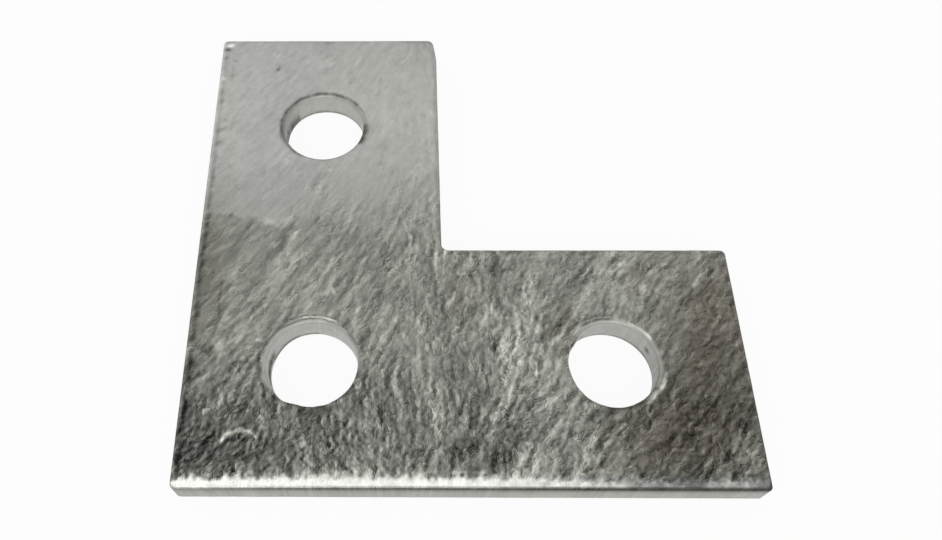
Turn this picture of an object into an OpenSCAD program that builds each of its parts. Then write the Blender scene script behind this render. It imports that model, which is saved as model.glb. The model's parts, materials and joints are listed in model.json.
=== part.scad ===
// Flat L bracket: one galvanised steel plate with two equal arms and a punched hole at its
// corner and near each arm's end. It lies on its flat underside at z = 0, with its rolled
// face up. The origin is the middle of the square that the two arms span.

/* [Plate] */
// Width of each arm
arm_w = 41.3; // [32:0.1:60]
// Distance from the corner hole to the hole near an arm's end
hole_pitch = 47.3; // [36:0.1:120]
// Distance from the hole near an arm's end to that end
end_margin = 21.3; // [15:0.1:40]
// How far the holes lie off the arms' centre lines, towards the outer sides
hole_shift = 0.35; // [0:0.05:2]
// Thickness of the plate
plate_t = 5; // [4:0.1:12]
// Radius, seen from above, of the corners at the arms' ends
end_corner_r = 1; // [1:0.1:8]
// Radius, seen from above, of the outer corner where the arms meet
heel_r = 1; // [1:0.1:8]
// Radius, seen from above, of the inner corner between the arms
inner_r = 1.2; // [0.5:0.1:8]

/* [Edges] */
// Radius rolled onto the upper edge of the outline when the plate was sheared
upper_roll = 0.6; // [0.3:0.1:0.9]
// Radius on the lower edge of the outline
lower_roll = 0.5; // [0.2:0.1:0.9]

/* [Holes] */
// Diameter of the straight land inside each hole
hole_d = 14.3; // [9:0.1:18]
// Radius rolled into each hole's upper rim, where the punch went in
rim_roll = 0.7; // [0.2:0.1:1.2]
// Height of the flared break at the bottom of each hole, where the punch came out
break_h = 1.5; // [0.5:0.1:2]
// Gain in each hole's radius down that break
break_flare = 0.2; // [0.05:0.05:0.5]

/* [Hidden] */
$fn = 96;
// How far each cutter runs past the surface that it cuts
over = 0.25;
// Distance from the outline's outer sides to the holes beside them
hole_inset = arm_w / 2 - hole_shift;
// Length of the outline's two outer sides
leg = hole_inset + hole_pitch + end_margin;
// Coordinates, the same along X and Y, of the outer sides, the inner sides and the ends
outer = -leg / 2;
inner = outer + arm_w;
end = leg / 2;
// Hole centres, also the same along X and Y
corner_hole = outer + hole_inset;
end_hole = corner_hole + hole_pitch;
holes = [[corner_hole, corner_hole], [end_hole, corner_hole], [corner_hole, end_hole]];
// Anticlockwise corners of the outline: place, radius and heading of the side that ends there
corners = [
    [[outer, outer], heel_r, 270],
    [[end, outer], end_corner_r, 0],
    [[end, inner], end_corner_r, 90],
    [[inner, inner], inner_r, 180],
    [[inner, end], end_corner_r, 90],
    [[outer, end], end_corner_r, 180]
];

function place(i) = corners[i][0];
function radius(i) = corners[i][1];
function side_in(i) = corners[i][2];
function next(i) = (i + 1) % len(corners);
function side_out(i) = side_in(next(i));
function along(heading) = [cos(heading), sin(heading)];
function is_inner(i) = (side_out(i) - side_in(i) + 360) % 360 == 270;
function arc_centre(i) = place(i) + radius(i) * (along(side_out(i)) - along(side_in(i)));
function arc_start(i) = side_in(i) - (is_inner(i) ? 0 : 90);

// Puts its children on the centre of a corner's arc, with that arc in their first quadrant
module at_corner(i) {
    translate(arc_centre(i))
        rotate(arc_start(i))
            children();
}

// What lies between a corner's arc and the sharp corner
module corner_tip(i) {
    at_corner(i) difference() {
        square(radius(i) + over);
        circle(radius(i));
    }
}

// The L seen from above, its outer corners rounded off and its inner corner filled
module outline() {
    difference() {
        union() {
            translate([outer, outer]) square([leg, arm_w]);
            translate([outer, outer]) square([arm_w, leg]);
        }
        for (i = [0 : len(corners) - 1])
            if (!is_inner(i))
                corner_tip(i);
    }
    for (i = [0 : len(corners) - 1])
        if (is_inner(i))
            corner_tip(i);
}

// Section of the waste that leaves an edge rolled to radius r. The sharp edge is at the
// origin, X points away from the steel and Y points out of the face.
module roll_waste(r) {
    translate([-r, -r]) difference() {
        square(r + over);
        circle(r);
    }
}

// Sweeps a section round the whole outline. Its X points outwards and its Y upwards.
module sweep_outline() {
    for (i = [0 : len(corners) - 1]) {
        heading = side_out(i);
        side_end = place(next(i)) - radius(next(i)) * along(heading);
        side_start = place(i) + radius(i) * along(heading);
        at_corner(i)
            rotate_extrude(angle = 90)
                translate([radius(i), 0])
                    mirror([is_inner(i) ? 1 : 0, 0, 0])
                        children();
        translate(side_end)
            rotate([90, 0, heading - 90])
                linear_extrude(norm(side_end - side_start))
                    children();
    }
}

// Section of one punched hole: rolled rim, straight land and flared break
module hole_section() {
    land_r = hole_d / 2;
    slope = break_flare / break_h;
    translate([0, -over]) square([land_r, plate_t + 2 * over]);
    translate([land_r, plate_t]) mirror([1, 0, 0]) roll_waste(rim_roll);
    polygon([[0, -over], [land_r + break_flare + slope * over, -over], [land_r, break_h], [0, break_h]]);
}

module bracket() {
    color([0.62, 0.63, 0.6]) difference() {
        linear_extrude(plate_t) outline();
        sweep_outline() translate([0, plate_t]) roll_waste(upper_roll);
        sweep_outline() mirror([0, 1, 0]) roll_waste(lower_roll);
        for (hole = holes)
            translate(hole) rotate_extrude() hole_section();
    }
}

bracket();
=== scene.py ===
import json
from functools import lru_cache, partial
from math import cos, radians, sin
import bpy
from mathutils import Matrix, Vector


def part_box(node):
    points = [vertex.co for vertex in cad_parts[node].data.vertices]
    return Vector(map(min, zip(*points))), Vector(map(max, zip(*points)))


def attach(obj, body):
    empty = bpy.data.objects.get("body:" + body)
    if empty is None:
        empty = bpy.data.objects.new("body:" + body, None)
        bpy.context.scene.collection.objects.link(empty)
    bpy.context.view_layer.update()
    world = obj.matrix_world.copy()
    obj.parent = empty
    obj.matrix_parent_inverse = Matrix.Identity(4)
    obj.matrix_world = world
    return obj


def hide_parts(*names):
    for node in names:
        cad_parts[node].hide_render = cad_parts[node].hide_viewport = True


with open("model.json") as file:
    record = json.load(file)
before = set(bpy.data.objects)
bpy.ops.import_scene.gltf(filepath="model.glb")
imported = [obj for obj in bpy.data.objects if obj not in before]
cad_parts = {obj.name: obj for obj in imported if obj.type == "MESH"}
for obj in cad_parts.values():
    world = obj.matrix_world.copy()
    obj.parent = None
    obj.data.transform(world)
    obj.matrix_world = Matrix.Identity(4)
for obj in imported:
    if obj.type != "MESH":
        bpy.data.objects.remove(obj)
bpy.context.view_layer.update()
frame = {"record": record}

from types import SimpleNamespace

import bpy
import numpy as np
from mathutils import Matrix, Vector
from mathutils.geometry import delaunay_2d_cdt

mm = 0.001
scene = bpy.context.scene


def addObject(name, data):
    thing = bpy.data.objects.new(name, data)
    scene.collection.objects.link(thing)
    return thing


# Camera, in the plate's frame. Lengths without a unit are in mm, here and below, and angles in degrees.
cameraSetup = dict(
    place=(-10.95, -79.38, 128.91),
    heading=-1.4,  # degrees to the right of +Y
    tilt=62.47,  # below the horizon
    roll=1.18,
    focal=860.3,  # pixels
    axis=(385.9, 310),  # pixel that the optical axis meets
    picture=(942, 540),
    sensor=36,
    clipStart=5,
)


def makeCamera(setup):
    turn = Matrix.Rotation(radians(-setup["heading"]), 4, "Z")
    turn = turn @ Matrix.Rotation(radians(90 - setup["tilt"]), 4, "X")
    turn = turn @ Matrix.Rotation(radians(-setup["roll"]), 4, "Z")
    wide, high = setup["picture"]
    data = bpy.data.cameras.new("camera")
    data.sensor_width = setup["sensor"]
    data.lens = setup["focal"] * setup["sensor"] / wide
    data.shift_x = (wide / 2 - setup["axis"][0]) / wide
    data.shift_y = (setup["axis"][1] - high / 2) / wide
    data.clip_start = setup["clipStart"] * mm
    camera = addObject("camera", data)
    camera.matrix_world = Matrix.Translation(Vector(setup["place"]) * mm) @ turn
    scene.camera = camera


makeCamera(cameraSetup)
print("camera placed")

# The plate's shape, apart from what comes from the frame
plate = dict(
    armWidth=41.3,
    cornerRadius=1,
    nearCornerRadius=0.75,  # the crisper one, right at the near edge
    innerRadius=1.2,
    edgeRoll=0.6,
    lowerRoll=0.5,
    rimRoll=0.7,  # depth rolled into each hole by the punch
    rimRun=0.95,  # and how far out from the hole that roll reaches
    breakHeight=1.5,  # flared break where the punch came out
    breakFlare=0.2,
    edgeStep=0.45,  # mesh size along the outline,
    faceStep=0.28,  # on the streaked part of the upper face
    paleStep=0.36,  # and on the pale part
    paleFrom=10,
    paleGap=0.3,  # between those two
    undersideStep=1.5,
    ringGap=0.55,  # share of that size kept clear beside the outline and the holes
    holeSides=128,
    arcSteps=8,  # round each corner
    rollRows=6,  # down a rolled edge or rim
    sideRows=9,
    lowerRows=3,
    landRows=7,
    breakRows=4,
)

low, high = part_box("bracket")
leg = (high.x - low.x) / mm
thickness = (high.z - low.z) / mm
holes = []
for mount in frame["record"]["mounts"]:
    if mount["kind"] == "bore":
        holes.append((mount["pos_m"][0] / mm, mount["pos_m"][1] / mm))
        boreRadius = mount["dims"]["r_mm"]
rimRadius = boreRadius + plate["rimRun"]
outer, end = -leg / 2, leg / 2
inner = outer + plate["armWidth"]


def along(degrees):
    return np.array([cos(radians(degrees)), sin(radians(degrees))])


# Points round the outline, anticlockwise, with the outward direction at each
def outlinePath(step):
    sharp = plate["cornerRadius"]
    corners = [
        ((outer, outer), sharp, 270),
        ((end, outer), plate["nearCornerRadius"], 0),
        ((end, inner), sharp, 90),
        ((inner, inner), plate["innerRadius"], 180),
        ((inner, end), sharp, 90),
        ((outer, end), sharp, 180),
    ]
    points, outward = [], []
    for number, (place, radius, headingIn) in enumerate(corners):
        nextPlace, nextRadius, headingOut = corners[(number + 1) % len(corners)]
        side = 1 if (headingOut - headingIn) % 360 == 90 else -1
        centre = np.array(place) + radius * (along(headingOut) - along(headingIn))
        for k in range(plate["arcSteps"] + 1):
            away = along(headingIn - 90 + 90 * side * k / plate["arcSteps"])
            points.append(centre + side * radius * away)
            outward.append(away)
        start = points[-1]
        stop = np.array(nextPlace) - nextRadius * along(headingOut)
        count = round(np.linalg.norm(stop - start) / step)
        for k in range(1, count):
            points.append(start + (stop - start) * k / count)
            outward.append(away)
    return np.array(points), np.array(outward)


# Depth from the outline into the steel, for points on the plate seen from above
def depthInside(x, y):
    nearestSide = np.minimum.reduce([x - outer, y - outer, end - x, end - y])
    radius = plate["innerRadius"]
    cornerX, cornerY = radius + inner - x, radius + inner - y
    rounded = np.hypot(cornerX, cornerY) - radius
    notch = np.where((cornerX > 0) & (cornerY > 0), rounded, np.maximum(inner - x, inner - y))
    return np.minimum(nearestSide, notch)


# Rows of a rolled edge or rim and of the flat below it: place across, height and slope
def rolledRows(start, run, roll, flat, stopHeight, count):
    foot = thickness - roll
    rows = []
    for slope in np.linspace(0, 90, plate["rollRows"] + 1):
        rows.append((start - run * sin(radians(slope)), foot + roll * cos(radians(slope)), slope))
    for height in np.linspace(foot, stopHeight, count + 1)[1:]:
        rows.append((flat, height, 90))
    return rows


# The same for the whole edge, from the upper face down, across being the depth inside the outline
def edgeProfile():
    roll, lowerRoll = plate["edgeRoll"], plate["lowerRoll"]
    rows = rolledRows(roll, roll, roll, 0, lowerRoll, plate["sideRows"])
    for slope in np.linspace(0, 90, plate["lowerRows"] + 1)[1:]:
        across, up = lowerRoll * cos(radians(slope)), lowerRoll * sin(radians(slope))
        rows.append((lowerRoll - across, lowerRoll - up, 90 + slope))
    return rows


# And for a hole, across being the radius
def holeProfile():
    height = plate["breakHeight"]
    rows = rolledRows(rimRadius, plate["rimRun"], plate["rimRoll"], boreRadius, height, plate["landRows"])
    for share in np.linspace(0, 1, plate["breakRows"] + 1)[1:]:
        rows.append((boreRadius + plate["breakFlare"] * share, height * (1 - share), 90))
    return rows


# Staggered points in a band of the plate from one y to another
def staggered(step, fromY, toY):
    rows = np.arange(fromY, toY, 0.866 * step)  # as high as triangles with equal sides
    x, y = np.meshgrid(np.arange(outer, end, step), rows)
    x[1::2] += step / 2
    return np.column_stack([x.ravel(), y.ravel()])


# Whether points are so far inside the outline and outside the holes
def onFace(x, y, edgeGap, holeGap):
    clear = depthInside(x, y) > edgeGap
    for holeX, holeY in holes:
        clear &= np.hypot(x - holeX, y - holeY) > holeGap
    return clear


# Triangulates the L between its outline ring and the holes' rings
def fillFace(rings, inside, step, edgeGap, holeGap):
    gap = plate["ringGap"] * step
    fixed = np.concatenate(rings)
    edges, offset = [], 0
    for ring in rings:
        edges.extend((offset + k, offset + (k + 1) % len(ring)) for k in range(len(ring)))
        offset += len(ring)
    points = np.concatenate([fixed, inside[onFace(*inside.T, edgeGap + gap, holeGap + gap)]])
    result = delaunay_2d_cdt([Vector(p) for p in points], edges, [], 0, 1e-5)
    triangles = np.array(result[2])
    steel = onFace(*points[triangles].mean(axis=1).T, edgeGap, holeGap)
    return points[len(fixed):], triangles[steel]


# The plate as one closed skin, with each point's part of the plate and its slope
def buildBlank():
    path, outward = outlinePath(plate["edgeStep"])
    turn = np.linspace(0, 2 * np.pi, plate["holeSides"], endpoint=False)
    circle = np.column_stack([np.cos(turn), np.sin(turn)])
    places, faces, parts, slopes = [], [], [], []

    def addRing(points, height, part, slope):
        first = sum(len(block) for block in places)
        places.append(np.column_stack([points, np.full(len(points), height)]))
        parts.extend([part] * len(points))
        slopes.extend([slope] * len(points))
        return first

    def joinRings(starts, count, flip):
        for upper, lower in zip(starts, starts[1:]):
            for k in range(count):
                after = (k + 1) % count
                quad = (upper + k, lower + k, lower + after, upper + after)
                faces.append(quad[::-1] if flip else quad)

    edgeRows, holeRows = edgeProfile(), holeProfile()
    rings = [path - depth * outward for depth, height, slope in edgeRows]
    starts = [addRing(ring, row[1], "edge", row[2]) for ring, row in zip(rings, edgeRows)]
    joinRings(starts, len(path), False)
    topRings, bottomRings = [(starts[0], rings[0])], [(starts[-1], rings[-1])]
    for centre in holes:
        rings = [circle * radius + centre for radius, height, slope in holeRows]
        starts = [addRing(ring, row[1], "hole", row[2]) for ring, row in zip(rings, holeRows)]
        joinRings(starts, len(circle), True)
        topRings.append((starts[0], rings[0]))
        bottomRings.append((starts[-1], rings[-1]))

    def addFace(ends, inside, step, row, holeRow, part, flip):
        extra, triangles = fillFace([ring for start, ring in ends], inside, step, row[0], holeRow[0])
        first = addRing(extra, row[1], part, 0)
        numbers = np.concatenate([np.arange(start, start + len(ring)) for start, ring in ends])
        numbers = np.concatenate([numbers, np.arange(first, first + len(extra))])
        for a, b, c in numbers[triangles].tolist():
            faces.append((c, b, a) if flip else (a, b, c))

    step, paleStep, line = plate["faceStep"], plate["paleStep"], plate["paleFrom"]
    pale = staggered(paleStep, line + plate["paleGap"], end)
    upper = np.concatenate([staggered(step, outer, line), pale])
    addFace(topRings, upper, step, edgeRows[0], holeRows[0], "upper", False)
    step = plate["undersideStep"]
    addFace(bottomRings, staggered(step, outer, end), step, edgeRows[-1], holeRows[-1], "under", True)
    return np.concatenate(places), faces, np.array(parts), np.array(slopes, float)


# The same angle, counted from low to low + 360 degrees
def wrapped(angle, low):
    return (angle - low) % 360 + low


# Zinc that set thicker in the holes or, below 0, is missing from a rim: angle, half-angle, height,
# half-height and thickness
drips = dict(
    corner=[
        (173, 46, 0.3, 1.7, 0.45), (250, 6, 4.2, 1.2, 0.07), (268, 5, 4.2, 1.2, 0.05),
        (231, 13, 4.8, 1.3, -0.42),
    ],
    right=[
        (178, 55, 4.3, 1.6, 0.42), (60, 60, 0.2, 1, 0.12), (144, 15, 2.2, 2.6, 0.45),
    ],
    top=[
        (186, 50, 0.3, 1.7, 0.45),
    ],
)
dripFade = 0.25  # inside the rim
dentReach = 9.7  # radius at which a dent has died out


def addDrips(places, parts):
    x, y, z = places.T
    for (holeX, holeY), ownDrips in zip(holes, drips.values()):
        for angle, halfAngle, height, halfHeight, rise in ownDrips:
            offX, offY = x - holeX, y - holeY
            radius = np.hypot(offX, offY)
            turned = wrapped(np.degrees(np.arctan2(offY, offX)) - angle, -180)
            cover = np.exp(-np.abs(turned / halfAngle) ** 3 - ((z - height) / halfHeight) ** 2)
            if rise > 0:
                cover *= (parts == "hole") * np.clip((rimRadius - radius) / dripFade, 0, 1)
            else:
                fade = (dentReach - radius) / (dentReach - rimRadius)
                cover *= (parts != "under") * np.clip(fade, 0, 1)
            places[:, 0] -= offX / radius * rise * cover
            places[:, 1] -= offY / radius * rise * cover


places, faces, parts, slopes = buildBlank()
addDrips(places, parts)
triangleCount = sum(len(face) - 2 for face in faces)
print("blank built:", len(places), "points,", triangleCount, "triangles")

latticeSize = 256


@lru_cache(maxsize=None)
def randomLattice(seed):
    return np.random.default_rng(seed).uniform(-1, 1, (latticeSize, latticeSize))


# Smooth random values from -1 to 1 with bumps about cell mm across
def softNoise(x, y, cell, seed):
    lattice = randomLattice(seed)
    gridX, gridY = np.asarray(x) / cell + latticeSize / 2, np.asarray(y) / cell + latticeSize / 2
    column, row = np.floor(gridX).astype(int), np.floor(gridY).astype(int)
    partX, partY = gridX - column, gridY - row
    partX, partY = partX * partX * (3 - 2 * partX), partY * partY * (3 - 2 * partY)
    nextColumn, nextRow = (column + 1) % latticeSize, (row + 1) % latticeSize
    column, row = column % latticeSize, row % latticeSize
    lowerRow = lattice[column, row] * (1 - partX) + lattice[nextColumn, row] * partX
    upperRow = lattice[column, nextRow] * (1 - partX) + lattice[nextColumn, nextRow] * partX
    return lowerRow * (1 - partY) + upperRow * partY


# Adds soft noises to a value, each with a gain, a cell size and a seed
def roughened(value, x, y, noises):
    for gain, cell, seed in noises:
        value = value + gain * softNoise(x, y, cell, seed)
    return value


def smooth(value, start, stop):
    part = np.clip((np.asarray(value, float) - start) / (stop - start), 0, 1)
    return part * part * (3 - 2 * part)


# 1 in one part of the plate, fading in over the given x and y
def within(x, y, spans):
    return smooth(x, *spans[0]) * smooth(y, *spans[1])


# 1 between two angles, with ends that fade so far out and in
def between(angle, first, last, outside, inside):
    return smooth(angle, first - outside, first + inside) * smooth(angle, last + outside, last - inside)


def blend(value, target, share):
    return value + (target - value) * share


# How much of an oval spot covers each point
def spot(x, y, centreX, centreY, long, wide, turn):
    c, s = cos(radians(turn)), sin(radians(turn))
    u = (x - centreX) * c + (y - centreY) * s
    v = (y - centreY) * c - (x - centreX) * s
    return np.exp(-((u / long) ** 2 + (v / wide) ** 2))


# Which way the zinc drained, from +X, at stations across the plate
flowSetup = dict(
    stations=(-44, -34, -22, -12, -4, 4, 12, 22, 32, 44),
    upperPart=(50, 54, 58, 64, 82, 78, 69, 62, 52, 45),
    lowerPart=(57, 74, 85, 88, 82, 71, 64, 53, 47, 47),
    lowerFrom=(-20, -30),  # y over which the lower part takes over
    wander=((15, 5, 11), (12, 1.7, 12), (8, 0.8, 13)),  # gain, size and seed
    calm=0.35,  # share of it where the zinc drained straight
    calmPart=((-8, -18), (-27, -19)),
)


def flowAngle(x, y):
    upper = np.interp(x, flowSetup["stations"], flowSetup["upperPart"])
    lower = np.interp(x, flowSetup["stations"], flowSetup["lowerPart"])
    angle = blend(upper, lower, smooth(y, *flowSetup["lowerFrom"]))
    lively = 1 - (1 - flowSetup["calm"]) * within(x, y, flowSetup["calmPart"])
    return angle + lively * roughened(0, x, y, flowSetup["wander"])


# Noise pulled out along the flow, with grains of size cell and streaks as long as reach
def dragged(x, y, cell, reach, seed):
    total = np.zeros(len(x))
    hop = cell / 2
    steps = max(round(reach / hop), 1)
    for way in (-1, 1):
        atX, atY = x.copy(), y.copy()
        for k in range(steps):
            total += (1 - k / steps) * softNoise(atX, atY, cell, seed)
            angle = np.radians(flowAngle(atX, atY))
            atX += way * hop * np.cos(angle)
            atY += way * hop * np.sin(angle)
    return total / steps ** 0.5


# Where each point of the skin is and, step by step, how its zinc looks. Levels are display levels, from
# 0 to 255, and swing is how far the streaks swing them.
coat = SimpleNamespace(slope=slopes)
coat.x, coat.y, coat.z = places.T
coat.onUpper, coat.onEdge, coat.onHole, coat.onUnder = (
    parts == name for name in ("upper", "edge", "hole", "under")
)


# Adds to the coat's values, as far as the cover says
def change(cover, **amounts):
    for name, amount in amounts.items():
        setattr(coat, name, getattr(coat, name) + amount * cover)


# Blends them into other values in the same way
def paint(cover, **targets):
    for name, target in targets.items():
        setattr(coat, name, blend(getattr(coat, name), target, cover))


# Tones up the plate, darker towards the near edge. Grain is what swing starts from.
finish = dict(
    heights=(-44, -40, -36, -30, -24, -18, -12, -6, 0, 3, 6, 8, 12, 20, 30, 38, 44),
    level=(109, 111, 114, 124, 131, 138, 134, 136, 142, 149, 155, 158, 163, 171, 175, 171, 168),
    grain=(22, 22.5, 22.5, 21.5, 18.5, 17.5, 17, 16.5, 13.5, 11.5, 9, 6.5, 4, 3.3, 3.3, 3.3, 3.3),
    brown=(0.1, 0, 0, 0, 0, 0, 0, 0, -0.1, -0.2, -0.35, -0.5, -0.6, -0.65, -0.65, -0.65, -0.65),
)

# Patches where the upper face is lighter or darker, browner or bluer, with more or less grain: place,
# half-widths, turn, level, brown and grain
tonePatches = [
    (38, -27, 17, 8, 72, -43, 1, -0.2), (33, -18, 16, 12, 60, 0, 0, -0.18),
    (29, -36, 9, 6, 20, -20, 0.7, -0.1), (41, -13, 8, 5, 70, -16, 0.5, 0.05),
    (16.5, -18.5, 3.8, 2.2, 75, -26, 0.7, 0), (24, -11, 6, 3, 50, 9, 0, 0),
    (37.5, -15, 2.4, 1.5, 40, 9, 0, 0), (-42, 24, 5, 30, 0, 0, 0.3, 0),
    (-23.5, -33.2, 2.8, 0.9, 5, -14, 0, 0), (32, -7, 6, 3, 40, -7, 0.3, 0),
    (7.5, -23, 5, 3, 75, 13, 0, 0.15), (15, -31, 5, 3.5, 65, 12, 0, 0),
    (13, -39, 8, 4.5, 70, 17, -0.1, 0), (0, -12, 5, 3.5, 85, -10, 0.2, 0),
    (-24, -12, 7, 4, 60, 11, 0, 0), (-14, -18, 5, 3, 75, 6, 0, 0), (-15, -29, 4, 3, 60, -12, 0, 0),
    (-35, -34, 9, 7, 40, -17, -0.1, -0.02), (-21, -37, 6, 4, 20, -14, 0, 0),
    (-14, -40, 5, 3, 60, 9, 0, 0), (-43, -8, 16, 3.5, 90, -22, 0.15, -0.3),
    (-44, -38, 12, 3, 90, -20, 0, 0), (-38.5, -40.5, 6.5, 2.6, 0, -24, 0, 0),
    (9, -41, 4.5, 3, 60, 20, 0, 0), (-37, -2, 6, 4, 60, -9, 0, -0.35), (5, -2, 9, 3, 70, -3, 0, 0.1),
    (24, -40, 5, 3.5, 30, 23, 0, 0), (39, -38, 5, 4, 40, 21, 0, 0), (0, -40, 4, 3, 70, -26, 0, 0.1),
    (-22, -40, 5, 2.5, 0, 8, 0, 0.1), (-30, 30, 7, 5, 40, -8, 0, 0), (32, -24, 4, 3, 60, -8, 0, 0),
    (8, -20, 5, 4, 75, 4, 0, 0.42), (-31, -9, 12, 9, 55, 2, 0, -0.3),
]

# Edge of the thicker, pale zinc on the upper arm
paleEdge = dict(
    stations=(-44, -39.9, -38.4, -34.3, -32.75, -30.25, -28.4, -22),
    heights=(4.25, 4.25, 3.3, 3.2, 1.75, 2.4, 3.3, 4.6),
    noises=((0.3, 1.1, 5), (0.2, 0.5, 6)),
    crisp=(-22, -30),  # x over which it turns into a step
    above=((2, 6, 9), (13, 2, 0)),  # change of level above the step, by y
    below=((-5, 3), (0, -9)),
    width=0.3,
    calm=0.6,  # share of the streaks that it has lost, up to y = calmTo
    calmTo=9,
    brown=-0.3,
    rise=0.05,
    riseSpan=(-0.1, 0.35),
)


def layTones():
    x, y = coat.x, coat.y
    for name in ("level", "grain", "brown"):
        setattr(coat, name, np.interp(y, finish["heights"], finish[name]))
    coat.grainShare = 1
    for *oval, level, brown, grain in tonePatches:
        change(spot(x, y, *oval), level=level, brown=brown, grainShare=grain)
    line = np.interp(x, paleEdge["stations"], paleEdge["heights"])
    above = y - roughened(line, x, x, paleEdge["noises"])
    crisp = smooth(x, *paleEdge["crisp"])
    step = np.where(above > 0, np.interp(y, *paleEdge["above"]), np.interp(y, *paleEdge["below"]))
    covered = crisp * smooth(above, 0, 0.4)
    change(crisp * np.clip(np.abs(above) / paleEdge["width"], 0, 1), level=step)
    change(covered, brown=paleEdge["brown"])
    paint(paleEdge["calm"] * covered * (y < paleEdge["calmTo"]), grain=0)
    coat.relief = paleEdge["rise"] * crisp * smooth(above, *paleEdge["riseSpan"])


# Streaky layers of the zinc: cell and reach, share of the tone as such and as lit from one side, height,
# and gain where the zinc is speckled and combed
layers = [
    (2.1, 7, 0.4, 0.1, 0.02, -0.5, 0.15),
    (1, 3.2, 0.28, 0.42, 0.022, -0.5, 0.15),
    (0.6, 2, 0.2, 0.58, 0.016, -0.5, 0.15),
    (1.5, 0, 0.3, 0, 0.01, -0.7, -0.55),
    (0.8, 0, 0.2, 0.4, 0.012, 0.275, -0.55),
    (0.48, 0, 0.2, 0.5, 0.01, 0.6, -0.55),
]
streaks = dict(
    seed=31,
    mainLayer=1,  # the one that tears the near edge's strip
    sideStep=0.28,  # towards the lit side of the streaks
    speckled=((-4, -16), (-28, -36)),
    combed=((-6, -16), (-24, -17)),
    patches=((0.8, 2.6, 47), (0.5, 1.2, 48)),  # lively and quiet ones
    patchiness=((-10, 8), (0.25, 0.9)),  # and how strong they are, by y
    meshShare=0.82,  # of the grain, the rest being finer than the mesh
    clouds=((3, 3.2, 101), (3.6, 1.3, 102), (2.4, 0.65, 103)),
    cloudy=(7, 14),  # y over which they set in
    fullSwing=18,  # with which the layers have their full height
)
# Shallow grooves between the streaks, painted darker as shade in them
creases = dict(cell=1.5, reach=1.9, seed=45, width=0.12, share=-1.1, depth=-0.02, gapSize=3.1, gapSeed=46)


def layStreaks():
    x, y = coat.x, coat.y
    speckled, combed = within(x, y, streaks["speckled"]), within(x, y, streaks["combed"])
    across = np.radians(flowAngle(x, y) + 90)
    besideX, besideY = x + streaks["sideStep"] * np.cos(across), y + streaks["sideStep"] * np.sin(across)
    total, raised = 0, 0
    for number, (cell, reach, share, litShare, rise, speckledGain, combedGain) in enumerate(layers):
        seed = streaks["seed"] + number
        noise = dragged(x, y, cell, reach, seed)
        lit = noise - dragged(besideX, besideY, cell, reach, seed)
        lit = lit / lit.std()
        noise = (noise - noise.mean()) / noise.std()
        part = 1 + speckledGain * speckled + combedGain * combed
        total = total + part * (share * noise + litShare * lit)
        raised = raised + part * rise * noise
        if number == streaks["mainLayer"]:
            coat.mainStreak, coat.litStreak = noise, lit
    # painted shade along the grooves between streaks
    noise = dragged(x, y, creases["cell"], creases["reach"], creases["seed"])
    crease = np.exp(-((noise / noise.std() / creases["width"]) ** 2))
    crease = crease * smooth(softNoise(x, y, creases["gapSize"], creases["gapSeed"]), -0.25, 0.35)
    coat.streak = total / total.std() + creases["share"] * crease
    raised = raised + creases["depth"] * crease
    patchy = np.exp(roughened(0, x, y, streaks["patches"]))
    coat.swing = coat.grain * coat.grainShare * blend(1, patchy, np.interp(y, *streaks["patchiness"]))
    coat.plain = coat.level
    change(streaks["meshShare"] * coat.streak, level=coat.swing)
    change(smooth(y, *streaks["cloudy"]), level=roughened(0, x, y, streaks["clouds"]))
    coat.brown = coat.brown * np.where(coat.brown > 0, np.clip(1 - 0.35 * coat.streak, 0.15, 1.3), 1)
    change(np.clip(coat.swing / streaks["fullSwing"], 0.25, 1.2), relief=raised)
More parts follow.
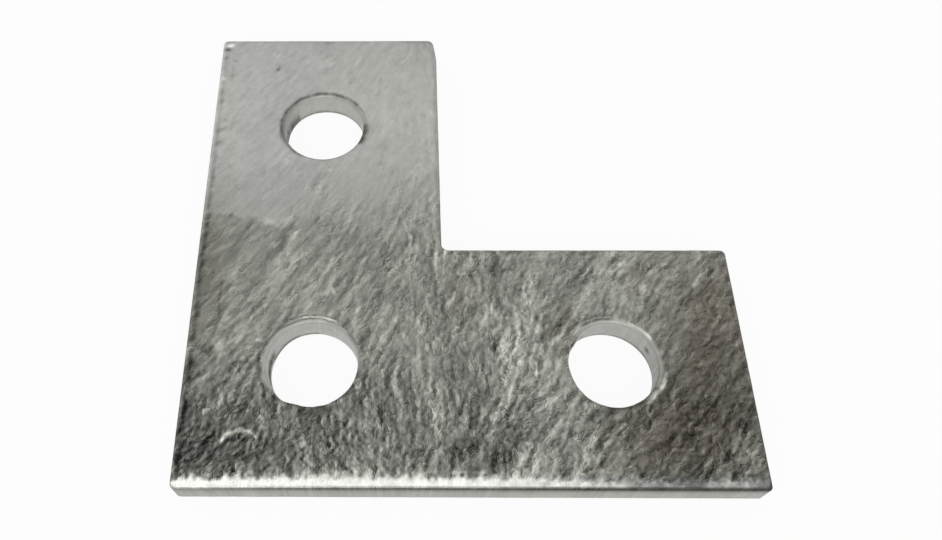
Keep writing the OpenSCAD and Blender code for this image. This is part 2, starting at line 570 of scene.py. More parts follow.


# Lines and runs on the upper face, the raised ones lighter and the sunk ones darker as painted highlights
# and shade on the relief, and the flat ones zinc tone: x and y of their points, half-width, change of
# level and height
strokes = [
    ((-34.3, 2.85, -33.1, 1.75, -31.5, 1.9, -30.6, 1, -29.3, 1.75, -28.4, 3), 0.24, 13, 0.03),
    ((-29.1, 1.3, -31.2, -3.4, -35.4, -11.8), 0.85, -17, -0.02),
    ((-27.7, -0.3, -30, -5.2, -33.9, -12.6), 0.8, 15, 0.02),
    ((-22.6, -0.8, -24.8, -5, -28.4, -11.8), 0.7, -15, -0.01),
    ((-23, -6.5, -26.2, -12.5), 0.35, 14, 0.02), ((-21.4, -7.8, -24.2, -13), 0.35, -17, -0.02),
    ((-23.7, -38.4, -24, -41.6), 0.45, 22, 0.02), ((-19.7, -30.3, -20, -32.4), 0.4, 24, 0.02),
    ((-15.6, -33.6, -16, -36), 0.35, 18, 0.02), ((-14.9, -29.6, -15.4, -33), 0.5, 15, 0.01),
    ((-14.4, -2.4, -18.6, -7.4, -21, -10.6), 0.28, -14, -0.02),
    ((-15, -6.2, -18.8, -11.2), 0.26, -15, -0.02),
    ((-16.6, -3.6, -22.4, -9.7, -23.9, -12.4), 0.24, 12, 0.02),
    ((-35.6, 2.4, -37.2, -0.6, -39.9, -5.1), 0.3, -20, -0.02),
    ((-39.6, -9.5, -39.9, -13, -39.6, -16, -40.25, -19.5), 0.25, -22, -0.02),
    ((-33.1, -20.2, -32.3, -20.35, -31.5, -20.3), 0.22, 38, 0.02),
    ((-36.5, -24.3, -35.2, -24, -34, -24.2), 0.28, -28, -0.02),
    ((-31.2, -19.7, -34.5, -19.4, -37.8, -18.9), 0.25, -12, 0),
    ((-37.3, -37, -36.3, -36, -34.6, -35.3, -33, -35.6, -32, -36.5), 0.34, 74, 0.04),
    ((-36.2, -36.9, -34.6, -36.4, -33.2, -36.8), 0.55, -32, -0.03),
    ((-34.3, -37.4, -34.6, -38.2, -34.9, -39.4), 0.35, -34, -0.03),
    ((-22.2, -11.9, -21.5, -10.7, -20.9, -11.8), 0.25, 34, 0.02),
    ((-4.1, -2.2, -4.1, -3.8, -4.3, -6.2, -4.1, -9), 0.22, 40, 0.02),
    ((-2.65, -3.6, -2.8, -4.6, -2.95, -5.8, -3, -8), 0.22, 36, 0.02),
    ((5.9, -4.6, 5.3, -9, 5.6, -14), 0.7, -17, -0.02),
    ((13.4, -4.4, 11.6, -8.4, 10.8, -12.6), 1.1, 14, 0), ((12.2, -21, 12.5, -24.4), 0.3, 26, 0.02),
    ((8.4, -20.6, 7.3, -23), 0.28, 24, 0.02), ((7.3, -27.4, 6.6, -30), 0.3, 22, 0.02),
    ((-1.2, -31.2, -1.7, -34), 0.25, 24, 0.02), ((24.3, -4, 22, -7), 0.6, 11, 0.01),
    ((6, -15, 7, -20, 8.4, -25), 1.3, 11, 0), ((14.3, -17.6, 12.6, -20.2, 11.4, -23), 1.1, -18, 0),
    ((11, -24.2, 12.4, -26.4), 0.9, 14, 0), ((7.9, -20.6, 6.8, -22.8), 0.3, -34, -0.02),
    ((8.5, -27.2, 7.4, -29.3), 0.3, -34, -0.02), ((-0.4, -30.7, -1.2, -32.8), 0.28, -32, -0.02),
    ((6.5, -34.7, 5.6, -36.8), 0.32, -38, -0.02), ((0.8, -36.6, 0.1, -38.9), 0.3, -38, -0.02),
    ((29.2, -11.9, 30, -10.2), 0.32, 34, 0.02), ((38, -10.3, 39.3, -8.1), 0.32, 32, 0.02),
    ((41.2, -14, 43, -14), 0.2, 24, 0.01), ((22.9, -11.8, 24.4, -9.4), 0.4, 16, 0.01),
    ((25.6, -11.6, 27.2, -9.2), 0.4, 14, 0.01), ((31.6, -29.4, 33.1, -27.8), 0.35, 12, 0.01),
    ((-43.7, 38.7, -41.9, 37.75, -41.9, 33.7), 0.22, -9, -0.02),
    ((-5.6, 12, -5.9, 8, -5.3, 3), 0.6, -5, 0), ((20.4, -33.4, 19.2, -36.4), 0.6, 13, 0),
    ((-4, 15.6, -6.4, 11.8), 0.3, 7, 0.01), ((-4.9, 12.4, -8.3, 7.2), 0.28, -8, -0.01),
    ((-6.4, 13.6, -9.6, 8.6), 0.3, 6, 0.01), ((-3.9, 8.8, -7.6, 2.8), 0.32, 9, 0.01),
    ((-7.2, 7.6, -10.4, 2.6), 0.28, -9, -0.01), ((-17.6, -33, -17.9, -36.2), 0.5, 15, 0.01),
]

# Lumps, pits and patches: lumps painted lighter and pits darker as painted highlights and shade, and
# patches of zinc tone: place, half-widths, turn, change of level and height
spots = [
    (-37.4, -8.9, 0.7, 0.4, 60, 22, 0.02), (-39.1, -21.2, 1.4, 0.8, 100, 42, 0.03),
    (-31, -8.5, 2.6, 0.9, 62, 11, 0), (-29.9, 2.2, 1.4, 0.6, 38, 27, 0.02),
    (-32.5, 2.3, 1.7, 0.5, -17, 19, 0.02), (-16.2, -5.1, 0.6, 0.35, 70, 30, 0.02),
    (-21.5, -5.1, 0.6, 0.35, 60, 28, 0.02), (-24.6, -37.3, 0.8, 0.45, 60, 55, 0.04),
    (38, -14.2, 0.7, 0.45, 40, 32, 0.03), (37.1, -24.2, 0.8, 0.6, 60, 28, 0.04),
    (14.6, -24.2, 1.3, 0.8, 70, 24, 0), (17.4, -19.2, 0.45, 0.4, 0, 36, 0.02),
    (-42.95, 42.9, 0.8, 0.5, 15, 80, 0.05), (-43.4, 41.9, 0.6, 0.42, 0, -80, -0.06),
    (-33.3, 36.9, 0.48, 0.32, 70, -60, -0.05), (-33.1, 37.9, 0.35, 0.25, 70, -22, -0.02),
    (35, -4.4, 0.6, 0.5, 80, 24, 0.02), (-43.5, 39.7, 0.45, 0.4, 60, -40, -0.03),
    (-41.7, 39, 0.5, 0.42, 0, -24, -0.03), (-42, 35.3, 0.7, 0.42, 20, -20, -0.03),
    (-43.6, 34.6, 0.42, 0.42, 0, 42, 0.03), (-43.6, 31.4, 0.35, 0.7, 0, -26, -0.03),
    (-43.4, 29.2, 0.5, 0.5, 0, -22, -0.03), (-42.3, 24.6, 0.5, 0.35, 30, -24, -0.03),
    (-41.2, 22.6, 0.3, 0.25, 0, -20, -0.02), (-42.7, 22.4, 0.9, 0.4, 35, -22, -0.03),
    (-43, 19.3, 0.9, 0.35, 40, -24, -0.03), (-43.2, 16.2, 0.5, 0.3, 50, -18, -0.02),
    (-40.6, 14.1, 0.5, 0.25, 70, -12, -0.02), (-43.3, 11.6, 0.5, 0.3, 20, -16, -0.02),
    (-33.7, 33, 1.8, 1.2, 30, -4, -0.02), (-42.9, 21.5, 0.5, 0.4, 80, 11, 0.04),
    (-43.7, 32.75, 0.5, 0.4, 80, 10, 0.04), (-43, 12.7, 0.6, 0.4, 80, 11, 0.04),
    (-43, 9, 0.5, 0.4, 80, 11, 0.04), (-42.9, 2.4, 0.6, 0.4, 80, 13, 0.04),
    (-18.5, 38.5, 1.8, 1.1, 20, 3, 0), (-23.7, 43.6, 1, 0.3, 0, -26, -0.04),
    (-4.5, 3.4, 0.5, 0.5, 0, -9, -0.03), (-11, 22, 6, 4, 80, 2, 0), (28.8, -8.4, 2.2, 1.2, 50, 7, 0),
]


def distanceTo(x, y, path):
    nearest = np.inf
    for startX, startY, stopX, stopY in zip(path[::2], path[1::2], path[2::2], path[3::2]):
        runX, runY = stopX - startX, stopY - startY
        share = np.clip(((x - startX) * runX + (y - startY) * runY) / (runX * runX + runY * runY), 0, 1)
        nearest = np.minimum(nearest, np.hypot(x - startX - share * runX, y - startY - share * runY))
    return nearest


def layMarksAndShading():
    x, y = coat.x, coat.y
    wobble = roughened(1, x, y, [(0.45, 0.7, 51)])
    # raised lines and lumps lighter, sunk ones darker: painted highlights and shade on the relief
    for path, halfWidth, level, rise in strokes:
        cover = np.exp(-((distanceTo(x, y, path) / halfWidth / wobble) ** 4))
        change(cover, level=level, relief=rise)
    for *oval, level, rise in spots:
        change(spot(x, y, *oval), level=level, relief=rise)


# Lines inside the rolled edges, mostly dark, painted reflection where the roll turns down: places along,
# levels there, distance in and half-width
edgeLines = dict(
    left=(
        (-42, -32, -24, -16, -8, 0, 8, 18, 28, 40),
        (-30, -32, -42, -38, -34, -30, -30, -22, -13, -11),
        1.05,
        0.42,
    ),
    right=((-44, -30, -4), (-8, -10, -14), 0.85, 0.25),
    upright=((-3, 5, 44), (-2, -16, -17), 0.6, 0.25),
    shelf=((-3, 8, 13, 20, 27, 33, 38, 44), (-8, -20, 10, -22, 12, -6, -24, -8), 0.75, 0.25),
    far=((-44, -11, -9, -5, -3), (-4, -4, -16, -16, -6), 0.7, 0.25),
)
edgeLook = dict(
    lineBreaks=((0.4, 2.2, 61), (0.3, 0.9, 62)),
    lineWander=((0.12, 3, 63),),
    lineRise=-0.02,
    leftLift=7,  # of the left roll, a painted reflection
    leftNoise=((14, 1.3, 64),),
    heelLift=45,  # and next to the near edge, a painted highlight
    farChange=-22,  # of the rolled edges away from the light
)


def layEdges():
    x, y = coat.x, coat.y
    sides = dict(  # distance in, place along, and where the line is
        left=(x - outer, y, x < -30),
        right=(end - x, y, x > 30),
        upright=(inner - x, y, (y > inner - 1) & (x > -20)),
        shelf=(inner - y, x, (x > inner - 1) & (y > -20)),
        far=(end - y, x, y > 30),
    )
    # painted reflection lines inside the rolled edges
    for name, (stations, levels, distance, halfWidth) in edgeLines.items():
        away, run, there = sides[name]
        broken = roughened(1, run, run, edgeLook["lineBreaks"])
        middle = roughened(distance, run, run, edgeLook["lineWander"])
        cover = there * np.exp(-(((away - middle) / halfWidth) ** 2)) * broken
        change(cover, level=np.interp(run, stations, levels), relief=edgeLook["lineRise"])
    # painted reflection: the left roll lighter, most of all next to the near edge
    lift = roughened(edgeLook["leftLift"], y, x, edgeLook["leftNoise"])
    lift = lift + edgeLook["heelLift"] * smooth(y, -38, -42)
    change(coat.onEdge * smooth(coat.slope, 0, 25) * (x < -40), level=lift)
    away = (y - outer > 1.5) & (x > -40)
    change(coat.onEdge * smooth(coat.slope, 5, 60) * away, level=edgeLook["farChange"])


# The near edge: a smoother strip inside the roll and the roll's crest, painted with a highlight, and the
# roll's steep half, painted with a dark reflection
nearEdge = dict(
    stations=(-44, -32, -24, -15, -5, 4, 11, 17, 23, 29, 34, 38, 43),
    # strength of the painted highlight along the edge
    glare=(0.98, 0.99, 0.99, 0.99, 0.98, 0.9, 0.74, 0.62, 0.45, 0.28, 0.2, 0.42, 0.15),
    glareNoise=((0.1, 1.6, 72), (0.08, 0.6, 73)),
    glareSpecks=((0.9, 0.5, 76), (0.5, 1.3, 77)),
    reach=(0.95, 1.15, 1.25, 1.4, 1.25, 1.3, 1.1, 0.85, 0.9, 0.8, 0.8, 1, 0.7),
    # levels of the painted dark reflection on the roll's steep half
    rollLevels=(165, 128, 108, 98, 88, 90, 70, 66, 66, 60, 56, 64, 60),
    rollNoise=((0.08, 1.1, 74), (0.06, 0.5, 75)),
    early=(0.65, 0.55, 0.4, 0.3, 0.25, 0.25) + (0.15,) * 7,  # share of the painted highlight left at a slope of 30
    footLevels=(134, 126, 124, 124, 124, 120, 114, 112, 112, 108, 106, 110, 114),
    late=0.42,  # share of the foot's level at a slope of 75
    # level of the painted highlight
    highlightLevel=252,
    stripLift=16,  # painted highlight, where the strip is lit least
    calm=0.6,  # share of the streaks that it has lost
    brown=-0.65,
    grainLeft=0.35,  # on the roll
    fringe=(0.05, 0.07, 0.2),  # how far streaks, their lit sides and specks tear the strip's edge
    sharpness=4.5,  # of that edge
    widest=8,
)


def layNearEdge():
    x, y, slope = coat.x, coat.y, coat.slope

    def station(name):
        return np.interp(x, nearEdge["stations"], nearEdge[name])

    near = y - outer
    torn = (coat.mainStreak, coat.litStreak, softNoise(x, y, 0.55, 71) / 0.42)
    torn = sum(share * noise for share, noise in zip(nearEdge["fringe"], torn))
    inside = np.maximum(near - plate["edgeRoll"], 0) * np.exp(-torn)
    # painted highlight along the strip and the roll's crest
    glare = station("glare") * roughened(1, x, x, nearEdge["glareNoise"])
    glare = glare * (1 + (1.05 - glare) * roughened(0, x, y, nearEdge["glareSpecks"]))
    glare = np.clip(glare, 0, 1)
    strip = (slope < 1) * (near < nearEdge["widest"])
    strip = strip / (1 + (inside / station("reach")) ** nearEdge["sharpness"])
    paint(nearEdge["calm"] * strip, level=coat.plain + nearEdge["stripLift"], swing=0)
    paint(glare * strip, level=nearEdge["highlightLevel"])

    # the roll: painted highlight at the crest, painted dark reflection on the steep half, then the foot
    roll = coat.onEdge & (near < 1.2) & (slope >= 1) & (slope <= 90)
    crest = blend(coat.level, nearEdge["highlightLevel"], glare)
    darkReflection = station("rollLevels") * roughened(1, x, x, nearEdge["rollNoise"])
    foot = station("footLevels")
    early, late = blend(darkReflection, crest, station("early")), blend(darkReflection, foot, nearEdge["late"])
    stops = [(0, crest), (30, early), (45, darkReflection), (50, darkReflection), (75, late), (90, foot)]
    for (fromSlope, before), (toSlope, after) in zip(stops, stops[1:]):
        share = (slope - fromSlope) / (toSlope - fromSlope)
        paint(roll & (slope > fromSlope) & (slope <= toSlope), level=blend(before, after, share))
    coat.burnish = glare * np.where(roll, np.interp(slope, (0, 30, 50), (1, 0.5, 0)), strip)
    paint(smooth(near, 2.6, 1.6), brown=nearEdge["brown"] * (slope < 35))
    coat.swing = coat.swing * np.where(roll, nearEdge["grainLeft"], 1)


# Flat sides, with faint upright runs. The near side is painted darker towards the top, into the roll's
# painted dark reflection, and the lower roll is painted darker as shade.
flatSides = dict(
    heights=(0.5, 1.4, 2.4, 3.2, 3.8, 4.4),
    levels=(168, 172, 168, 161, 151, 130),
    otherChange=-10,  # of the other sides
    lowerChange=-12,  # of the lower roll, painted shade where it faces down
    runs=5,
    runDepth=0.012,
    clouds=((3, 3.5, 83),),
    brown=-0.35,
    swing=6,
)


def laySides():
    x, y, z, slope = coat.x, coat.y, coat.z, coat.slope
    near = y - outer < 0.1
    runs = softNoise(x + y, z * 0.3, 1.4, 81) + 0.7 * softNoise(x - y, z * 0.25, 0.6, 82)
    foot = np.interp(x, nearEdge["stations"], nearEdge["footLevels"])
    side = np.interp(z, flatSides["heights"], flatSides["levels"])
    # near side painted darker towards the top, into the roll's painted dark reflection
    side = side + (foot - flatSides["levels"][-1]) * smooth(z, 3.2, 4.4) * near
    side = side + flatSides["otherChange"] * ~near * (slope < 91)
    side = side + flatSides["lowerChange"] * smooth(slope, 90, 150)
    side = roughened(side + flatSides["runs"] * runs, x + y, z, flatSides["clouds"])
    flat = coat.onEdge & (slope >= 89)
    paint(flat, level=side, brown=flatSides["brown"], swing=flatSides["swing"])
    edgeRelief = coat.relief * np.interp(slope, (0, 60, 90), (1, 0.3, 0))
    paint(coat.onEdge, relief=edgeRelief + flatSides["runDepth"] * runs * flat)


# Walls of the holes and their rolled rims, in the order of the holes
walls = dict(
    reach=11,  # radius that takes in all of the rim
    levels=(187, 180, 184),
    dips=(0, 26, 22),  # painted shade: how much darker the wall gets at an angle
    dipAngles=(0, -20, 175),
    dipWidth=40,
    spans=((-8, 219), (-16, 136), (-6, 206)),  # where it is seen from above
    rollSlopes=(0, 15, 30, 45, 60, 75, 90),
    rollChanges=(0, -11, -22, -21, -12, -3, 0),  # against the wall below, painted shade on the rolled rim
    hiddenChange=-16,  # painted dark reflection on the rims, where the wall isn't seen
    brown=-0.65,
    swing=2,
    calm=0.8,  # share of the relief that the wall has lost
)

# Lines round each hole: painted highlights on the rims, painted shade along the foot of the walls, and
# dark rim lines that are partly dirt and partly painted shade: first and last angle, radius, height,
# half-width and level
rimLightAndMarks = dict(
    corner=[
        (56, 66, 7.9, 4.97, 0.15, 190), (66, 80, 8.03, 5, 0.26, 250), (82, 92, 8.07, 5, 0.17, 226),
        (94, 104, 8.18, 5, 0.2, 240), (104, 122, 8.2, 5, 0.15, 180), (141, 149, 8.33, 5, 0.25, 190),
        (122, 160, 8, 5, 0.15, 152), (48, 128, 7.8, 4.93, 0.15, 104), (50, 128, 8.4, 5, 0.14, 114),
        (128, 166, 8.17, 5, 0.22, 94), (166, 216, 8.42, 5, 0.3, 96), (248, 300, 8.2, 5, 0.6, 72),
        (-20, 44, 7.62, 4.9, 0.22, 112), (112, 160, 7, 0.4, 0.6, 96), (158, 226, 7, 1.9, 0.75, 66),
        (166, 226, 7, 0.2, 0.75, 205), (84, 140, 7.3, 0.3, 0.4, 128), (200, 232, 7.2, 0.7, 0.5, 118),
    ],
    right=[
        (-50, 4, 7.6, 4.8, 0.5, 142), (-48, -14, 8.85, 5, 0.25, 82), (-54, -37, 8.05, 5, 0.24, 200),
        (-37, -12, 8.28, 5, 0.24, 206), (33, 64, 7.8, 4.95, 0.2, 222), (66, 84, 7.95, 4.95, 0.14, 160),
        (168, 216, 7.2, 4.6, 0.5, 148), (122, 146, 7.6, 4.93, 0.14, 176),
        (143, 158, 7.12, 4.78, 0.2, 200), (156, 176, 6.82, 4.62, 0.22, 180),
        (174, 192, 6.65, 4.5, 0.25, 160), (24, 30, 7.15, 2.5, 0.4, 96), (120, 140, 7.15, 1.6, 0.6, 138),
        (84, 124, 7.8, 4.9, 0.2, 82), (86, 140, 8.15, 5, 0.14, 150), (84, 140, 8.5, 5, 0.2, 104),
        (-10, 66, 7.2, 0.4, 0.3, 118), (66, 160, 7.2, 0.3, 0.25, 136),
    ],
    top=[
        (38, 200, 7.75, 4.9, 0.3, 96), (196, 240, 7.75, 4.9, 0.22, 122), (4, 38, 7.75, 4.9, 0.22, 132),
        (-30, 4, 7.65, 4.8, 0.55, 84), (-30, -10, 7.45, 4.4, 0.6, 74), (136, 190, 7.1, 0.7, 1.2, 84),
        (60, 138, 7.2, 0.35, 0.3, 138), (14, 60, 7.2, 0.35, 0.25, 150),
    ],
)


def layHoles():
    x, y, z, slope = coat.x, coat.y, coat.z, coat.slope
    for number, ((holeX, holeY), rimLines) in enumerate(zip(holes, rimLightAndMarks.values())):
        radius = np.hypot(x - holeX, y - holeY)
        angle = np.degrees(np.arctan2(y - holeY, x - holeX))
        wall = coat.onHole & (radius < walls["reach"])
        facing = between(wrapped(angle, -90), *walls["spans"][number], 8, 6)
        cover = wall * blend(smooth(slope, 62, 88), smooth(slope, 8, 26), facing)
        # random tone of the wall, with painted shade at an angle and on the rolled rim
        toneAndShade = 4 * softNoise(angle / 14, z * 0.4, 1, 91 + number)
        toneAndShade = toneAndShade + 4 * softNoise(angle / 7, z * 1.2, 1, 94 + number)
        turned = wrapped(angle - walls["dipAngles"][number], -180)
        toneAndShade = toneAndShade - walls["dips"][number] * np.exp(-((turned / walls["dipWidth"]) ** 2))
        toneAndShade = toneAndShade + np.interp(slope, walls["rollSlopes"], walls["rollChanges"])
        level = walls["levels"][number] + toneAndShade
        paint(cover, level=level, brown=walls["brown"], swing=walls["swing"])
        paint(walls["calm"] * cover, relief=0)
        # painted dark reflection on the rims of walls that face away
        change(wall * (1 - facing) * smooth(slope, 10, 40), level=walls["hiddenChange"])
        nearby = (coat.onHole | coat.onUpper) & (radius < walls["reach"])
        # painted highlights and shade on the rims and walls, and dark rim lines of dirt
        for fromAngle, toAngle, runRadius, runHeight, halfWidth, level in rimLines:
            window = between(wrapped(angle - fromAngle, -90), 0, toAngle - fromAngle, 5, 3)
            ragged = runRadius + 0.1 * softNoise(angle / 9, angle / 9, 1, 97)
            away = np.hypot(np.where(z < 4, 0, radius - ragged), z - runHeight)
            cover = nearby * window * np.exp(-((away / halfWidth) ** 2))
            cover = cover * (0.9 + 0.5 * softNoise(angle / 5, angle / 7, 1, 98))
            paint(np.clip(cover, 0, 1), level=level, brown=0)


underside = dict(level=150, swing=9, brown=-0.4)
levelSpan = (25, 252)


def layUnderside():
    paint(coat.onUnder, **underside)
    change(coat.onUnder * coat.streak, level=underside["swing"])


for layOn in (layTones, layStreaks, layMarksAndShading, layEdges, layNearEdge, laySides, layHoles, layUnderside):
    layOn()
coat.level = np.clip(coat.level, *levelSpan)
coat.flow = flowAngle(coat.x, coat.y)
print("tones laid: from", round(coat.level.min()), "to", round(coat.level.max()))

# The shear drew the upper arm's end in at the inner side
drawnEnd = dict(depth=0.72, reach=5.4, across=9, power=1.5)


def drawEndIn(places, setup):
    x, y, z = places.T
    share = np.clip((y - end + setup["reach"]) / setup["reach"], 0, 1) ** setup["power"]
    places[:, 0] -= setup["depth"] * share * smooth(x, inner - setup["across"], inner)


drawEndIn(places, drawnEnd)


def addSockets(tree, way, kind, *names):
    for name in names:
        tree.interface.new_socket(name, in_out=way, socket_type="NodeSocket" + kind)


# Makes and joins a node
def add(tree, kind, inputs=(), **settings):
    node = tree.nodes.new(kind)
    for name, value in settings.items():
        setattr(node, name, value)
    for socket, value in dict(inputs).items():
        if isinstance(value, bpy.types.NodeSocket):
            tree.links.new(value, node.inputs[socket])
        else:
            node.inputs[socket].default_value = value
    return node


def maths(tree, operation, *values, clamp=False):
    return add(tree, "ShaderNodeMath", enumerate(values), operation=operation, use_clamp=clamp).outputs[0]


def vectorMaths(tree, operation, *values):
    return add(tree, "ShaderNodeVectorMath", enumerate(values), operation=operation).outputs[0]


# Finer than the mesh: streaks and plates stretched three ways, and blended by the flow
fineZinc = dict(
    angles=(50, 69, 88),
    spread=19,
    streakLong=0.6,
    streakWide=0.28,
    detail=2,
    roughness=0.6,
    plateLong=1.9,
    plateWide=0.62,
    creaseWidth=0.13,  # between plates, as a share of their width
    ridgeShift=(0.05, 0.26, 0),  # from a crease to the lit ridge beside it
    bend=0.55,  # of the plates, by noise
    bendSize=1.3,
)


def fineZincGroup(setup):
    tree = bpy.data.node_groups.new("fineZinc", "ShaderNodeTree")
    put, calc, vectors = partial(add, tree), partial(maths, tree), partial(vectorMaths, tree)
    addSockets(tree, "INPUT", "Vector", "Place")
    addSockets(tree, "INPUT", "Float", "Flow")
    addSockets(tree, "OUTPUT", "Float", "Streak", "Plate", "Crease", "Ridge")
    given = put("NodeGroupInput").outputs
    result = put("NodeGroupOutput")
    low, middle, high = setup["angles"]
    flow = calc("MINIMUM", calc("MAXIMUM", given["Flow"], low), high)
    cloud = {"Vector": given["Place"], "Scale": 1 / setup["bendSize"], "Detail": 1}
    cloud = put("ShaderNodeTexNoise", cloud, noise_dimensions="2D").outputs["Color"]
    centred = vectors("SUBTRACT", cloud, (0.5, 0.5, 0.5))
    bent = vectors("MULTIPLY_ADD", centred, (2 * setup["bend"],) * 3, given["Place"])

    def laid(place, lie, number, long, wide):
        turn = {"Vector": place, "Angle": -radians(lie)}
        turned = put("ShaderNodeVectorRotate", turn, rotation_type="Z_AXIS").outputs[0]
        shift = (3.1 * number, 0, 7 * number)
        return vectors("MULTIPLY_ADD", turned, (1 / long, 1 / wide, 1 / long), shift)

    def cells(broad, output, feature="F1"):
        sockets = {"Vector": broad, "Scale": 1}
        voronoi = put("ShaderNodeTexVoronoi", sockets, feature=feature, voronoi_dimensions="2D")
        return voronoi.outputs[output]

    def nearBorder(broad):
        apart = calc("DIVIDE", cells(broad, "Distance", "DISTANCE_TO_EDGE"), setup["creaseWidth"])
        return calc("SUBTRACT", 1, apart, clamp=True)

    sums = [0.0] * 4
    squares = 0.0
    for number, lie in enumerate(setup["angles"]):
        apart = calc("ABSOLUTE", calc("SUBTRACT", flow, lie))
        weight = calc("SUBTRACT", 1, calc("DIVIDE", apart, setup["spread"]), clamp=True)
        squares = calc("MULTIPLY_ADD", weight, weight, squares)
        thin = laid(given["Place"], lie, number, setup["streakLong"], setup["streakWide"])
        noise = {"Vector": thin, "Scale": 1, "Detail": setup["detail"], "Roughness": setup["roughness"]}
        grain = put("ShaderNodeTexNoise", noise, noise_dimensions="2D").outputs[0]
        broad = laid(bent, lie, number, setup["plateLong"], setup["plateWide"])
        tone = put("ShaderNodeSeparateColor", {0: cells(broad, "Color")}).outputs[0]
        beside = vectors("ADD", broad, setup["ridgeShift"])
        values = [calc("SUBTRACT", mask, 0.5) for mask in (grain, tone)]
        values += [nearBorder(broad), nearBorder(beside)]
        sums = [calc("MULTIPLY_ADD", value, weight, total) for value, total in zip(values, sums)]
    size = calc("SQRT", squares)
    for number, total in enumerate(sums):
        tree.links.new(calc("DIVIDE", total, size), result.inputs[number])
    return tree


# Galvanised steel, which takes its tones from the plate's own attributes
zincLook = dict(
    metallic=0.8,
    roughDull=0.46,
    roughPale=0.6,
    roughBurnished=0.3,
    roughSwing=0.5,
    roughLeast=0.2,
    streakGain=2.6,
    plateGain=1.9,
    # painted shade in the creases between plates, and a painted highlight on the ridge beside each
    creaseGain=-1.6,
    ridgeGain=1.2,
    speckGain=1.1,
    speckSize=0.33,
    patchSize=2.6,  # of the patches that have creases
    patchContrast=(5, -2),
    darkest=0.08,
    gamma=2.2,
    warmth=(0.098, 0.99),  # red against green: gain where it is brown, and base
    coolness=(-0.074, 0.889),  # and blue
    bumpDepth=0.02,  # where the swing is bumpSwing
    bumpSwing=0.065,
)


def zincMaterial(look):
    material = bpy.data.materials.new("hotDipZinc")
    material.use_nodes = True
    tree = material.node_tree
    put, calc = partial(add, tree), partial(maths, tree)
    shader = tree.nodes["Principled BSDF"]
    place = put("ShaderNodeTexCoord").outputs["Object"]
    inMm = vectorMaths(tree, "MULTIPLY", place, (1000, 1000, 1000))

    def read(name):
        return put("ShaderNodeAttribute", attribute_name=name).outputs["Fac"]

    def cloud(size, detail):
        return put("ShaderNodeTexNoise", {"Vector": inMm, "Scale": 1 / size, "Detail": detail}).outputs[0]

    sockets = {"Place": inMm, "Flow": read("flow")}
    zinc = put("ShaderNodeGroup", sockets, node_tree=fineZincGroup(fineZinc)).outputs
    creased = calc("MULTIPLY_ADD", cloud(look["patchSize"], 1), *look["patchContrast"], clamp=True)
    masks = [
        (calc("SUBTRACT", cloud(look["speckSize"], 1.5), 0.5), look["speckGain"]),
        (zinc["Streak"], look["streakGain"]),
        (zinc["Plate"], look["plateGain"]),
        (calc("MULTIPLY", zinc["Crease"], creased), look["creaseGain"]),
        (calc("MULTIPLY", zinc["Ridge"], creased), look["ridgeGain"]),
    ]
    texture = 0.0
    for mask, gain in masks:
        texture = calc("MULTIPLY_ADD", mask, gain, texture)
    swung = calc("MULTIPLY", texture, read("swing"))
    lumps = calc("DIVIDE", swung, look["bumpSwing"])
    shown = calc("ADD", swung, read("level"))
    shown = calc("MINIMUM", calc("MAXIMUM", shown, look["darkest"]), 1)
    light = calc("POWER", shown, look["gamma"])
    brown = read("brown")
    warm = calc("MULTIPLY_ADD", calc("MAXIMUM", brown, 0), *look["warmth"])
    cool = calc("MULTIPLY_ADD", brown, *look["coolness"])
    tint = {"Red": calc("MULTIPLY", light, warm), "Green": light, "Blue": calc("MULTIPLY", light, cool)}
    tree.links.new(put("ShaderNodeCombineColor", tint).outputs[0], shader.inputs["Base Color"])
    bump = put("ShaderNodeBump", {"Strength": 1, "Distance": look["bumpDepth"] * mm, "Height": lumps})
    tree.links.new(bump.outputs[0], shader.inputs["Normal"])
    rough = calc("MULTIPLY_ADD", read("level"), look["roughPale"] - look["roughDull"], look["roughDull"])
    rough = calc("MULTIPLY_ADD", zinc["Streak"], look["roughSwing"], rough)
    less = calc("MULTIPLY", read("burnish"), look["roughPale"] - look["roughBurnished"])
    rough = calc("MAXIMUM", calc("SUBTRACT", rough, less), look["roughLeast"])
    tree.links.new(rough, shader.inputs["Roughness"])
    shader.inputs["Metallic"].default_value = look["metallic"]
    return material


# The coat's relief: each point sinks along its normal, less where relief and a fine grain lift it
skin = {"Full Depth": 0.06, "Grain Size": 0.5, "Grain Depth": 0.012}
skinSeed = 3


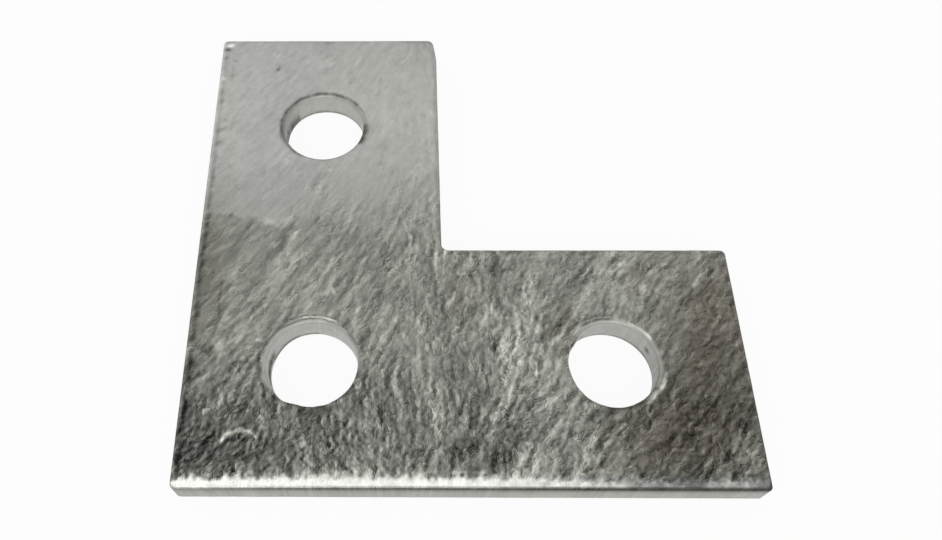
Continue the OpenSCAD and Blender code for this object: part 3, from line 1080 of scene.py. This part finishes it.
def zincSkinTree():
    tree = bpy.data.node_groups.new("zincSkin", "GeometryNodeTree")
    put, calc = partial(add, tree), partial(maths, tree)
    addSockets(tree, "INPUT", "Geometry", "Geometry")
    addSockets(tree, "INPUT", "Material", "Material")
    addSockets(tree, "INPUT", "Float", *skin, "Seed")
    addSockets(tree, "OUTPUT", "Geometry", "Geometry")
    given = put("NodeGroupInput").outputs
    result = put("NodeGroupOutput")
    named = put("GeometryNodeInputNamedAttribute", {"Name": "relief"}, data_type="FLOAT")
    place = put("GeometryNodeInputPosition").outputs[0]
    scale = calc("DIVIDE", 1, given["Grain Size"])
    noise = {"Vector": place, "W": given["Seed"], "Scale": scale, "Detail": 1}
    grain = put("ShaderNodeTexNoise", noise, noise_dimensions="4D").outputs[0]
    grain = calc("SUBTRACT", grain, 0.5)
    lift = calc("MULTIPLY_ADD", grain, given["Grain Depth"], named.outputs["Attribute"])
    sink = calc("MINIMUM", calc("SUBTRACT", lift, given["Full Depth"]), 0)
    normal = put("GeometryNodeInputNormal").outputs[0]
    offset = put("ShaderNodeVectorMath", {0: normal, "Scale": sink}, operation="SCALE").outputs[0]
    moved = put("GeometryNodeSetPosition", {"Geometry": given["Geometry"], "Offset": offset}).outputs[0]
    plain = put("GeometryNodeRealizeInstances", {"Geometry": moved}).outputs[0]
    covered = put("GeometryNodeSetMaterial", {"Geometry": plain, "Material": given["Material"]})
    tree.links.new(covered.outputs[0], result.inputs[0])
    return tree


def makeBracket():
    blank = bpy.data.meshes.new("blank")
    blank.from_pydata((places * mm).tolist(), [], faces)
    blank.update()
    blank.shade_smooth()
    scales = dict(level=1 / 255, brown=1, flow=1, swing=1 / 255, relief=mm, burnish=1)
    for name, scale in scales.items():
        data = blank.attributes.new(name, "FLOAT", "POINT").data
        data.foreach_set("value", (getattr(coat, name) * scale).astype(np.float32))
    carrier = addObject("blank", blank)
    modifier = carrier.modifiers.new("zincSkin", "NODES")
    modifier.node_group = zincSkinTree()
    values = {name: size * mm for name, size in skin.items()}
    values.update({"Seed": skinSeed, "Material": zincMaterial(zincLook)})
    for socket in modifier.node_group.interface.items_tree:
        if socket.in_out == "INPUT" and socket.name in values:
            modifier[socket.identifier] = values[socket.name]
    carrier.update_tag()
    evaluated = carrier.evaluated_get(bpy.context.evaluated_depsgraph_get())
    mesh = bpy.data.meshes.new_from_object(evaluated)
    mesh.name = "flatBracket"
    carrier.modifiers.remove(modifier)
    bpy.data.objects.remove(carrier)
    return addObject("flatBracket", mesh)


bracket = makeBracket()
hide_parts("bracket")
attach(bracket, "root")
print("plate coated:", len(bracket.data.vertices), "points")

# Floor, backdrop and lamps, in metres
studio = dict(
    floorSize=3,
    floorHeight=-0.00005,  # just clear of the underside
    floorShade=0.8,
    floorGlow=0.93,  # share of its white that no shadow dims
    worldShown=1,
    worldLight=0.75,
)
lamps = dict(
    key=dict(place=(-0.5, 0.35, 0.5), target=(0, 0, 0), size=(0.3, 0.3), power=0.6),
    front=dict(place=(0.05, -0.5, 0.42), target=(0, -0.04, 0), size=(0.7, 0.3), power=1.2),
)


# 1 where the background is seen, also in a reflection or through glass, and 0 where it lights
def backgroundSeen(tree):
    rays = add(tree, "ShaderNodeLightPath").outputs
    seen = maths(tree, "MAXIMUM", rays["Is Camera Ray"], rays["Is Glossy Ray"])
    return maths(tree, "MAXIMUM", seen, rays["Is Transmission Ray"])


def floorMaterial(setup):
    material = bpy.data.materials.new("paleFloor")
    material.use_nodes = True
    tree = material.node_tree
    tree.nodes.remove(tree.nodes["Principled BSDF"])
    shade = add(tree, "ShaderNodeBsdfDiffuse", {"Color": (setup["floorShade"],) * 3 + (1,)}).outputs[0]
    glow = add(tree, "ShaderNodeEmission", {"Color": (1, 1, 1, 1), "Strength": 1}).outputs[0]
    share = maths(tree, "MULTIPLY", backgroundSeen(tree), setup["floorGlow"])
    mix = add(tree, "ShaderNodeMixShader", {0: share, 1: shade, 2: glow})
    tree.links.new(mix.outputs[0], tree.nodes["Material Output"].inputs[0])
    return material


def makeFloor(setup):
    half, low = setup["floorSize"] / 2, setup["floorHeight"]
    corners = [(-half, -half, low), (half, -half, low), (half, half, low), (-half, half, low)]
    data = bpy.data.meshes.new("floor")
    data.from_pydata(corners, [], [(0, 1, 2, 3)])
    data.materials.append(floorMaterial(setup))
    addObject("floor", data)


def makeWorld(setup):
    world = bpy.data.worlds.new("studio")
    world.use_nodes = True
    scene.world = world
    tree = world.node_tree
    light = setup["worldLight"]
    strength = maths(tree, "MULTIPLY_ADD", backgroundSeen(tree), setup["worldShown"] - light, light)
    background = tree.nodes["Background"]
    tree.links.new(strength, background.inputs["Strength"])
    background.inputs["Color"].default_value = (1, 1, 1, 1)


def softbox(name, setup):
    data = bpy.data.lights.new(name, "AREA")
    data.shape = "RECTANGLE"
    data.size, data.size_y = setup["size"]
    data.energy = setup["power"]
    lamp = addObject(name, data)
    lamp.location = setup["place"]
    aim = Vector(setup["target"]) - Vector(setup["place"])
    lamp.rotation_euler = aim.to_track_quat("-Z", "Y").to_euler()


makeFloor(studio)
makeWorld(studio)
for name, setup in lamps.items():
    softbox(name, setup)
scene.view_settings.view_transform = "Standard"
print("studio lit")
